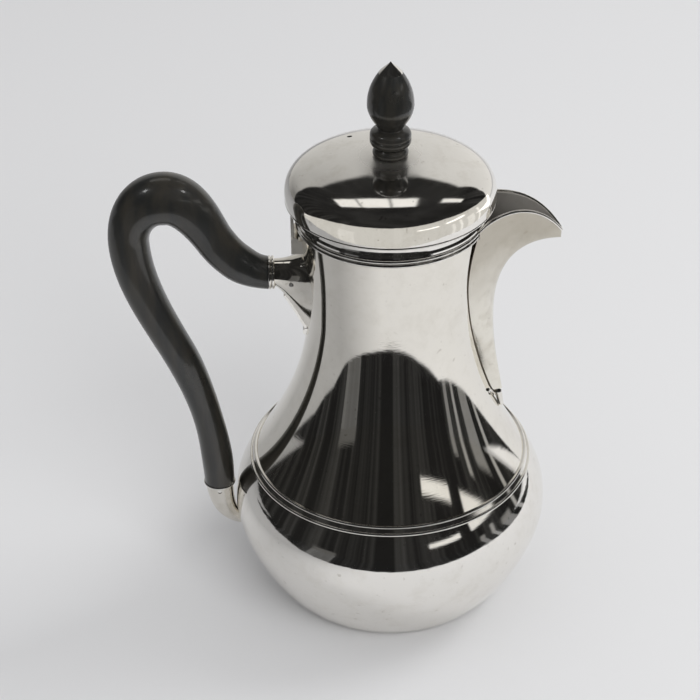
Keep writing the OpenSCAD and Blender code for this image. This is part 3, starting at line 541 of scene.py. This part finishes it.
cup_rings = []
for i in range(CUP_STEPS + 1):
    t = i / CUP_STEPS
    r = CUP_R * (1 - CUP_TAPER * t ** 1.6)
    along = bez_at(CUP_PATH, t + 0.02) - bez_at(CUP_PATH, t - 0.02)
    cup_rings.append(path_ring(bez_at(CUP_PATH, t), along, r, r, 64))
cup = skin("lower_socket_skin", cup_rings)
cut(cup, belly_mass, keep=True, angle=SKINNED)
cut(cup, cylinder("bore", TANG_BORE_R, (CUP_X, 0, CUP_Z + 1), (CUP_X, 0, CUP_Z - 7)), angle=SKINNED)
cut(cup, pin_through(*PINS[1]), angle=SKINNED)
finish_piece(cup, "lower_socket")
low_ring = lathe("lower_ferrule_reed", [Vector((CUP_R, 0))]
                 + reeds((CUP_R + 0.2, 0), (CUP_R + 0.2, FERRULE_REED), 1)
                 + [Vector((CUP_R, FERRULE_REED))], SMALL_ROUND,
                 Matrix.Translation((CUP_X, 0, CUP_Z - FERRULE_REED)))
cut(low_ring, belly_mass)
finish_piece(low_ring, "lower_ferrule")
drop(neck_mass)


# ---------------------------------------------------------------- shader helpers
def put(tree, socket, value):
    """Links a socket into another, or sets it to a constant."""
    if isinstance(value, bpy.types.NodeSocket):
        tree.links.new(value, socket)
    elif value is not None:
        socket.default_value = value


def new_node(tree, kind, *values, operation=None):
    n = tree.nodes.new(kind)
    if operation:
        n.operation = operation
    for i, value in enumerate(values):
        put(tree, n.inputs[i], value)
    return n


def calc(tree, operation, *values):
    return new_node(tree, "ShaderNodeMath", *values, operation=operation).outputs[0]


def material(name):
    """A new material: itself, its tree, its Principled shader and its output."""
    mat = bpy.data.materials.new(name)
    mat.use_nodes = True
    t = mat.node_tree
    t.nodes.clear()
    b = t.nodes.new("ShaderNodeBsdfPrincipled")
    out = new_node(t, "ShaderNodeOutputMaterial", b.outputs[0])
    return mat, t, b, out


def xyz(t):
    """The place on the piece, in metres."""
    return new_node(t, "ShaderNodeSeparateXYZ", t.nodes.new("ShaderNodeTexCoord").outputs["Object"]).outputs


def noise(t, scale, detail=3.0, stretch=(1, 1, 1), rough=0.5, coords="Object"):
    mapping = t.nodes.new("ShaderNodeMapping")
    mapping.inputs["Scale"].default_value = stretch
    t.links.new(t.nodes.new("ShaderNodeTexCoord").outputs[coords], mapping.inputs["Vector"])
    n = t.nodes.new("ShaderNodeTexNoise")
    n.inputs["Scale"].default_value = scale
    n.inputs["Detail"].default_value = detail
    n.inputs["Roughness"].default_value = rough
    t.links.new(mapping.outputs["Vector"], n.inputs["Vector"])
    return n.outputs["Fac"]


def ramp(t, value, lo, hi, a, b):
    """a where the value is lo, b where it is hi, and straight between."""
    return new_node(t, "ShaderNodeMapRange", value, lo, hi, a, b).outputs["Result"]


def mix_colour(t, share, a, b):
    """Each of a and b is a colour socket or three numbers."""
    m = t.nodes.new("ShaderNodeMix")
    m.data_type = "RGBA"
    t.links.new(share, m.inputs["Factor"])
    for key, colour in (("A", a), ("B", b)):
        put(t, m.inputs[key], colour if isinstance(colour, bpy.types.NodeSocket) else (*colour, 1))
    return m.outputs["Result"]


def bump(t, b, height, strength, distance):
    n = t.nodes.new("ShaderNodeBump")
    n.inputs["Strength"].default_value = strength
    n.inputs["Distance"].default_value = distance
    t.links.new(height, n.inputs["Height"])
    t.links.new(n.outputs["Normal"], b.inputs["Normal"])


def shader_of(mat):
    return mat.node_tree, mat.node_tree.nodes["Principled BSDF"]


# ---------------------------------------------------------------- materials
def silver(name, rough_lo, rough_hi, dull=0.35, bumps=0.05, clean=(0.90, 0.88, 0.84), old=(0.62, 0.58, 0.50)):
    """Polished silver: cloudy roughness, a thin uneven tarnish and fine wiping marks."""
    mat, t, b, _ = material(name)
    b.inputs["Metallic"].default_value = 1.0
    t.links.new(ramp(t, noise(t, 38, 4), 0.35, 0.7, rough_lo, rough_hi), b.inputs["Roughness"])
    tarnish = ramp(t, noise(t, 120, 6, rough=0.7), 0.48, 0.8, 0.0, dull)
    t.links.new(mix_colour(t, tarnish, clean, old), b.inputs["Base Color"])
    bump(t, b, noise(t, 900, 2, (0.25, 0.25, 2.5)), bumps, 0.00012)
    return mat


def ebony(name):
    """Old polished ebony: near black, with long brown streaks and fine open pores along the grain."""
    mat, t, b, _ = material(name)
    b.inputs["IOR"].default_value = 1.52
    b.inputs["Coat Weight"].default_value = 0.6
    b.inputs["Coat Roughness"].default_value = 0.08
    streak = ramp(t, noise(t, 150, 5, (1.0, 1.0, 0.12), 0.6), 0.42, 0.72, 0.0, 1.0)
    t.links.new(mix_colour(t, streak, (0.016, 0.0165, 0.0155), (0.038, 0.033, 0.025)), b.inputs["Base Color"])
    t.links.new(ramp(t, noise(t, 60, 4), 0.3, 0.7, 0.27, 0.4), b.inputs["Roughness"])
    bump(t, b, noise(t, 1400, 2, (1.0, 1.0, 0.08)), 0.12, 0.00008)
    return mat


def worn_crown(mat, r0, r1, rough):
    """A dull patch round the finial, where fingers have worn the shine. It ends between the radii r0 and r1."""
    t, b = shader_of(mat)
    x, y, _ = xyz(t)
    flat = new_node(t, "ShaderNodeCombineXYZ", x, y)
    radius = new_node(t, "ShaderNodeVectorMath", flat.outputs[0], operation="LENGTH").outputs["Value"]
    waver = 0.008
    ragged = calc(t, "MULTIPLY_ADD", noise(t, 90, 3), waver, radius)
    patch = ramp(t, ragged, r0 * MM + waver / 2, r1 * MM + waver / 2, rough, 0.0)
    before = b.inputs["Roughness"].links[0].from_socket
    t.links.new(calc(t, "MAXIMUM", patch, before), b.inputs["Roughness"])
    return mat


def tint(mat, share, colour):
    t, b = shader_of(mat)
    before = b.inputs["Base Color"].links[0].from_socket
    t.links.new(mix_colour(t, share, before, colour), b.inputs["Base Color"])
    return mat


def specks(mat, size, amount):
    """Small dark spots of tarnish."""
    t = mat.node_tree
    return tint(mat, ramp(t, noise(t, size, 2, rough=0.4), 0.70, 0.78, 0.0, amount), (0.30, 0.26, 0.20))


def darker_above(mat, z0, z1, amount):
    """Darker and browner towards the top of a piece, with a wavering edge."""
    t = mat.node_tree
    waver = 0.02
    height = calc(t, "MULTIPLY_ADD", noise(t, 140, 4), waver, xyz(t)[2])
    share = ramp(t, height, z0 * MM + waver / 2, z1 * MM + waver / 2, 0.0, amount)
    return tint(mat, share, (0.44, 0.40, 0.33))


polish = specks(silver("silver_polished", 0.035, 0.08), 420, 0.35)
neck_silver = specks(silver("silver_neck", 0.035, 0.08, clean=(0.88, 0.85, 0.785)), 420, 0.3)
lid_silver = specks(worn_crown(silver("silver_lid", 0.05, 0.10, 0.4, 0.06), 9, 20, 0.36), 380, 0.5)
satin = silver("silver_worn", 0.12, 0.24, 0.75, 0.16, (0.88, 0.85, 0.77), (0.56, 0.51, 0.42))
satin = darker_above(specks(satin, 300, 0.5), 128, 162, 0.75)
inner = silver("silver_inside", 0.4, 0.55, 0.8, 0.06, (0.42, 0.40, 0.37), (0.26, 0.24, 0.20))
shader_of(inner)[1].inputs["Metallic"].default_value = 0.5
trim = silver("silver_trim", 0.06, 0.14, 0.45, 0.03)
joint_silver = silver("silver_hinge", 0.22, 0.36, 0.7, 0.12, (0.74, 0.71, 0.65), (0.44, 0.40, 0.33))
joint_silver = specks(joint_silver, 500, 0.5)
socket_silver = silver("silver_socket", 0.06, 0.13, 0.6, 0.08, (0.82, 0.79, 0.73), (0.5, 0.46, 0.38))
socket_silver = specks(socket_silver, 420, 0.4)
# A dark colour for the thread of painted shade and tarnish along the spout's seams.
corner = silver("seam_shade_and_tarnish_line", 0.35, 0.5, 0.8, 0.1, (0.15, 0.125, 0.095), (0.06, 0.05, 0.04))
wood = ebony("ebony_wood")

LOOK = {node: mat for mat, names in (
    (polish, ("belly_bowl", "lid_collar")),
    (neck_silver, ("neck_shell",)),
    (lid_silver, ("lid_dome",)),
    (satin, ("spout",)),
    (socket_silver, ("upper_socket", "lower_socket")),
    (wood, ("handle", "finial_foot", "finial_knob")),
    (trim, ("girdle_wire", "rim_moulding", "lid_edge_wire", "spout_lip_wire", "upper_ferrule", "lower_ferrule",
            "finial_tip")),
) for node in names}


def paint(obj, mat):
    obj.data.materials.clear()
    obj.data.materials.append(mat)


# The dark threads along the spout's seams: painted shade, with tarnish in the joint.
for obj in seams:
    paint(obj, corner)
    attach(obj, "pot")
for node, obj in pieces.items():
    paint(obj, LOOK[node])
    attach(obj, "pot" if node in POT else "lid")
for node, obj in NODES.items():
    if node not in pieces:
        for s in obj.material_slots:
            s.material = joint_silver if "hinge" in node else trim

# The spout's inside is dull: the faces that look to the middle, or up.
spout.data.materials.append(inner)
for face in spout.data.polygons:
    if face.normal.y * face.center.y < -1e-5 or face.normal.z > 0.35:
        face.material_index = 1

# ---------------------------------------------------------------- table
# TABLE_PAINTED_SHADOW is the table's colour where a painted shadow lies on it.
TABLE, TABLE_PAINTED_SHADOW, TABLE_HALF = (0.80, 0.80, 0.805), (0.46, 0.46, 0.465), 4
DIM_AT_X, BRIGHT_AT_X, FADE_FROM, FADE_TO = -0.21, -0.05, 0.75, 3.0
FAR_WHITE = (0.76, 0.76, 0.765, 1)
corners = [(x * TABLE_HALF, y * TABLE_HALF, 0) for x, y in ((-1, -1), (1, -1), (1, 1), (-1, 1))]
floor_mesh = bpy.data.meshes.new("floor")
floor_mesh.from_pydata(corners, [], [(0, 1, 2, 3)])
floor = bpy.data.objects.new("floor", floor_mesh)
bpy.context.scene.collection.objects.link(floor)
floor_mat, t, b, floor_out = material("floor")
b.inputs["Roughness"].default_value = 0.9
b.inputs["Specular IOR Level"].default_value = 0.1
seen_by = t.nodes.new("ShaderNodeLightPath").outputs
# A painted shadow darkens the table's colour on the handle's side. Only the mirrors show it.
handle_side = ramp(t, xyz(t)[0], DIM_AT_X, BRIGHT_AT_X, 1.0, 0.0)
painted_shadow = calc(t, "MULTIPLY", handle_side, seen_by["Is Glossy Ray"])
t.links.new(mix_colour(t, painted_shadow, TABLE, TABLE_PAINTED_SHADOW), b.inputs["Base Color"])
# Far from the pot it fades into the pale backdrop, for the camera only.
place = t.nodes.new("ShaderNodeTexCoord").outputs["Object"]
distance = new_node(t, "ShaderNodeVectorMath", place, operation="LENGTH").outputs["Value"]
fade = calc(t, "MULTIPLY", ramp(t, distance, FADE_FROM, FADE_TO, 0.0, 1.0), seen_by["Is Camera Ray"])
haze = new_node(t, "ShaderNodeEmission", FAR_WHITE)
faded = new_node(t, "ShaderNodeMixShader", fade, b.outputs[0], haze.outputs[0])
t.links.new(faded.outputs[0], floor_out.inputs[0])
floor.data.materials.append(floor_mat)

# ---------------------------------------------------------------- the room that the silver mirrors
# Azimuth 0 is straight in front of the pot, positive to the right. All angles are degrees seen from the pot.
world = bpy.data.worlds.new("studio")
bpy.context.scene.world = world
world.use_nodes = True
wt = world.node_tree
wt.nodes.clear()


def wmath(operation, *values):
    return calc(wt, operation, *values)


def clamp01(value):
    return new_node(wt, "ShaderNodeClamp", value).outputs[0]


def slope(value, start, end):
    """0 where the value is start, 1 where it is end, and held beyond them."""
    return clamp01(wmath("MULTIPLY_ADD", value, 1 / (end - start), -start / (end - start)))


def step_mask(value, lo, hi, soft):
    """1 between lo and hi, with edges as wide as soft."""
    rising = wmath("MULTIPLY_ADD", value, 1 / soft, 0.5 - lo / soft)
    falling = wmath("MULTIPLY_ADD", value, -1 / soft, 0.5 + hi / soft)
    return clamp01(wmath("MINIMUM", rising, falling))


def layer(under, mask, lum):
    return wmath("ADD", wmath("MULTIPLY", mask, lum), wmath("MULTIPLY", wmath("SUBTRACT", 1.0, mask), under))


def streaks(tree, turn):
    """Upright streaks of the dark room: a brightness that changes with the azimuth alone, given in radians."""
    total = 0.0
    for scale, share in ((3.5, 0.6), (13.0, 0.4)):
        n = tree.nodes.new("ShaderNodeTexNoise")
        n.noise_dimensions = "1D"
        n.inputs["Scale"].default_value = scale
        n.inputs["Detail"].default_value = 2.0
        tree.links.new(turn, n.inputs["W"])
        total = calc(tree, "MULTIPLY_ADD", n.outputs["Fac"], share, total)
    return ramp(tree, total, 0.46, 0.66, 0.012, 0.045)


direction = wt.nodes.new("ShaderNodeTexCoord").outputs["Generated"]
X, Y, Z = new_node(wt, "ShaderNodeSeparateXYZ", direction).outputs
flat = wmath("SQRT", wmath("ADD", wmath("MULTIPLY", X, X), wmath("MULTIPLY", Y, Y)))
turn = wmath("ARCTAN2", X, wmath("MULTIPLY", Y, -1.0))
AZ = wmath("MULTIPLY", turn, 180 / math.pi)
EL = wmath("MULTIPLY", wmath("ARCTAN2", Z, flat), 180 / math.pi)
across = wmath("DIVIDE", X, wmath("MAXIMUM", flat, 0.01))  # -1 at the left, 1 at the right

# The pale wall at the back: darker higher up, lighter to the right, and shaded low on the left.
WALL_LUM, HIGHER, TO_LEFT, TO_RIGHT, LOW_LEFT = 0.60, -0.14, -0.07, 0.26, -0.30
wall = wmath("MULTIPLY_ADD", slope(EL, 0, 40), HIGHER, WALL_LUM)
wall = wmath("ADD", wall, wmath("MULTIPLY_ADD", slope(across, -0.35, 0.35), TO_RIGHT, TO_LEFT))
low_left = wmath("MULTIPLY", slope(across, -0.35, -0.75), slope(EL, 32, 10))
wall = wmath("MULTIPLY_ADD", low_left, LOW_LEFT, wall)

# The dark room reaches from the table's edge up over the zenith. Towards the back it begins higher, in steps: from
# which azimuth, over how many degrees, and how much higher.
LOW_EDGE = -10.0
STEPS_UP = ((113, 8, 22.0), (121, 8, 15.0), (129, 11, 9.0), (140, 7, 6.0))
side = wmath("MAXIMUM", AZ, wmath("MULTIPLY_ADD", AZ, -1.0, -6.0))
low = LOW_EDGE
for start, width, lift in STEPS_UP:
    low = wmath("MULTIPLY_ADD", slope(side, start, start + width), lift, low)
in_room = slope(wmath("SUBTRACT", EL, low), -1, 1)
# High overhead the streaks give way to a cloudy ceiling, because they would meet in a star at the zenith.
ceiling = ramp(wt, noise(wt, 2.2, coords="Generated"), 0.4, 0.62, 0.014, 0.026)
room = layer(streaks(wt, turn), slope(EL, 30, 52), ceiling)
value = layer(wall, in_room, room)

# Two windows, then pale upright things: from and to in azimuth, from and to in height, softness and brightness.
PANES = [(25, 49, 14.5, 19.0, 1.5, 0.85), (58, 82, 15.0, 21.5, 1.5, 0.80)]
# The upright things also show beyond the table's edge: the last number is their brightness there.
UPRIGHTS = [(-57, -40, 4, 2.0, 0.10, 0.09), (62, 66, 5, 1.5, 0.22, 0.2), (72, 75, 9, 1.5, 0.32, 0.3),
            (82, 92, 5, 2.5, 0.22, 0.2), (98, 101, 12, 1.5, 0.37, 0.35)]
UPRIGHT_FOOT = -12
PANES += [(az0, az1, UPRIGHT_FOOT, top, soft, lum) for az0, az1, top, soft, lum, _ in UPRIGHTS]
for az0, az1, el0, el1, soft, lum in PANES:
    pane = wmath("MULTIPLY", step_mask(AZ, az0, az1, soft), step_mask(EL, el0, el1, soft))
    value = layer(value, pane, lum)

# Roof lights, laid out on a flat ceiling: U runs to the right, V to the back, both in ceiling heights.
ROOF = [(-0.45, -0.215, 0.30, 0.56), (-0.20, 0.02, 0.30, 0.57), (0.035, 0.215, 0.31, 0.565),
        (0.45, 0.86, 0.40, 0.53)]
ROOF_LUM, U_SOFT, V_SOFT = 0.92, 0.02, 0.03
rise = wmath("MAXIMUM", Z, 0.05)
U, V = wmath("DIVIDE", X, rise), wmath("DIVIDE", Y, rise)
for u0, u1, v0, v1 in ROOF:
    pane = wmath("MULTIPLY", step_mask(U, u0, u1, U_SOFT), step_mask(V, v0, v1, V_SOFT))
    value = layer(value, wmath("MULTIPLY", pane, wmath("GREATER_THAN", Z, 0.2)), ROOF_LUM)

# Mirrors see the room, the camera a pale backdrop, and all else an even sky.
SKY = 0.58
warm = new_node(wt, "ShaderNodeCombineColor", value, wmath("MULTIPLY", value, 0.985),
                wmath("MULTIPLY", value, 0.955))
mirrored_room = new_node(wt, "ShaderNodeBackground", warm.outputs[0])
even_sky = new_node(wt, "ShaderNodeBackground", (SKY, SKY, SKY * 1.01, 1))
backdrop = new_node(wt, "ShaderNodeBackground", FAR_WHITE)
ray = wt.nodes.new("ShaderNodeLightPath").outputs
by_gloss = new_node(wt, "ShaderNodeMixShader", ray["Is Glossy Ray"], even_sky.outputs[0], mirrored_room.outputs[0])
by_camera = new_node(wt, "ShaderNodeMixShader", ray["Is Camera Ray"], by_gloss.outputs[0], backdrop.outputs[0])
new_node(wt, "ShaderNodeOutputWorld", by_camera.outputs[0])


# ---------------------------------------------------------------- studio cards that only mirrors show
def glow(name, verts, faces, colour=None, only=()):
    """A card that glows in the colour given, or darkly with the room's streaks. With pieces in only, it lights
    just those and is clear for all the others."""
    mesh = bpy.data.meshes.new(name)
    mesh.from_pydata([tuple(c * MM for c in v) for v in verts], [], faces)
    card = bpy.data.objects.new(name, mesh)
    bpy.context.scene.collection.objects.link(card)
    mat = bpy.data.materials.new(name)
    mat.use_nodes = True
    t = mat.node_tree
    t.nodes.clear()
    if colour is None:
        x, y, _ = xyz(t)
        turn = calc(t, "ARCTAN2", x, calc(t, "MULTIPLY", y, -1.0))
        colour = streaks(t, turn)
        for az0, az1, _, _, _, lum in UPRIGHTS:
            middle, half = math.radians((az0 + az1) / 2), math.radians((az1 - az0) / 2)
            colour = calc(t, "MULTIPLY_ADD", calc(t, "COMPARE", turn, middle, half), lum, colour)
    shader = new_node(t, "ShaderNodeEmission", colour)
    if only:
        clear = t.nodes.new("ShaderNodeBsdfTransparent")
        shader = new_node(t, "ShaderNodeAddShader", shader.outputs[0], clear.outputs[0])
        group = bpy.data.collections.new(name + "_lights")
        for piece in only:
            group.objects.link(piece)
        card.light_linking.receiver_collection = group
    new_node(t, "ShaderNodeOutputMaterial", shader.outputs[0])
    mesh.materials.append(mat)
    card.visible_camera = card.visible_diffuse = card.visible_shadow = card.visible_transmission = False


# Beyond the table's edge the silver sees the dark room's floor. The edge runs round the front, from left to right.
FAR = 4300
TABLE_EDGE = [(-700, 260), (-640, 20), (-480, -50), (-400, -120), (-261, -142), (-178, -184), (-107, -214),
              (-50, -226), (0, -229), (64, -229), (152, -232), (318, -205), (376, -67), (415, 91), (412, 260)]
beyond = [(-FAR, 260)] + TABLE_EDGE + [(FAR, 260), (FAR, -FAR), (-FAR, -FAR)]
glow("beyond_table", [(x, y, 0.6) for x, y in beyond], [tuple(range(len(beyond)))])


def table_edge_towards(away):
    """Where the table's edge lies in that direction from the pot."""
    edge = [Vector(q) for q in TABLE_EDGE]
    for a, b in zip(edge, edge[1:]):
        da, db = (q.x * away.y - q.y * away.x for q in (a, b))
        if da * db <= 0 and da != db and (a + b).dot(away) > 0:
            return a + (b - a) * (da / (da - db))


# A tall pale reflector that stands on the table's edge and lights the lid alone: azimuth, and the height of its
# upper edge in degrees, seen from the lid's rim.
REFLECTOR = [(-100, -6), (-87, 4), (-77, 14), (-52, 29), (-25, 37), (-1, 39), (28, 40), (60, 39), (85, 28),
             (109, 14), (121, 6)]
REFLECTOR_STEP, SEEN_FROM_R, SEEN_FROM_Z = 3, 38, 183.0
posts = []
for az in range(REFLECTOR[0][0], REFLECTOR[-1][0] + 1, REFLECTOR_STEP):
    for (a0, e0), (a1, e1) in zip(REFLECTOR, REFLECTOR[1:]):
        if a0 <= az <= a1:
            top = math.radians(e0 + (e1 - e0) * (az - a0) / (a1 - a0))
            break
    stand = table_edge_towards(Vector((math.sin(math.radians(az)), -math.cos(math.radians(az)))))
    posts += [(stand.x, stand.y, 1),
              (stand.x, stand.y, SEEN_FROM_Z + (stand.length - SEEN_FROM_R) * math.tan(top))]
glow("lid_reflector", posts, [(i, i + 2, i + 3, i + 1) for i in range(0, len(posts) - 2, 2)],
     (0.62, 0.605, 0.57, 1), [pieces["lid_dome"]])

# Two square cards that gleam on the wood alone: azimuth and height in degrees.
GLEAM_SIZE, GLEAM_AWAY, GLEAM_LUM = 110, 1000, 9.0
for i, (az, el) in enumerate(((-62, 52), (58, 55))):
    az, el = math.radians(az), math.radians(el)
    mid = Vector((math.sin(az) * math.cos(el), -math.cos(az) * math.cos(el), math.sin(el))) * GLEAM_AWAY
    u = mid.cross(Vector((0, 0, 1))).normalized() * GLEAM_SIZE / 2
    v = mid.cross(u).normalized() * GLEAM_SIZE / 2
    glow("wood_gleam_%d" % i, [mid - u - v, mid + u - v, mid + u + v, mid - u + v], [(0, 1, 2, 3)],
         (GLEAM_LUM, GLEAM_LUM, GLEAM_LUM, 1), [pieces[n] for n in ("handle", "finial_knob", "finial_foot")])


# ---------------------------------------------------------------- lamps
def area(name, place, size, power):
    """A square lamp that shines on the pot's middle and that no mirror shows. Metres and watts."""
    lamp = bpy.data.lights.new(name, "AREA")
    lamp.shape = "RECTANGLE"
    lamp.size = lamp.size_y = size
    lamp.energy = power
    obj = bpy.data.objects.new(name, lamp)
    obj.location = place
    obj.rotation_euler = (Vector((0, 0, 0.05)) - Vector(place)).to_track_quat("-Z", "Y").to_euler()
    obj.visible_glossy = False
    bpy.context.scene.collection.objects.link(obj)


area("key", (1.3, 0.5, 1.3), 0.8, 9)
area("fill", (0.6, -1.3, 1.3), 1.1, 13)

bpy.context.scene.view_settings.view_transform = "Standard"
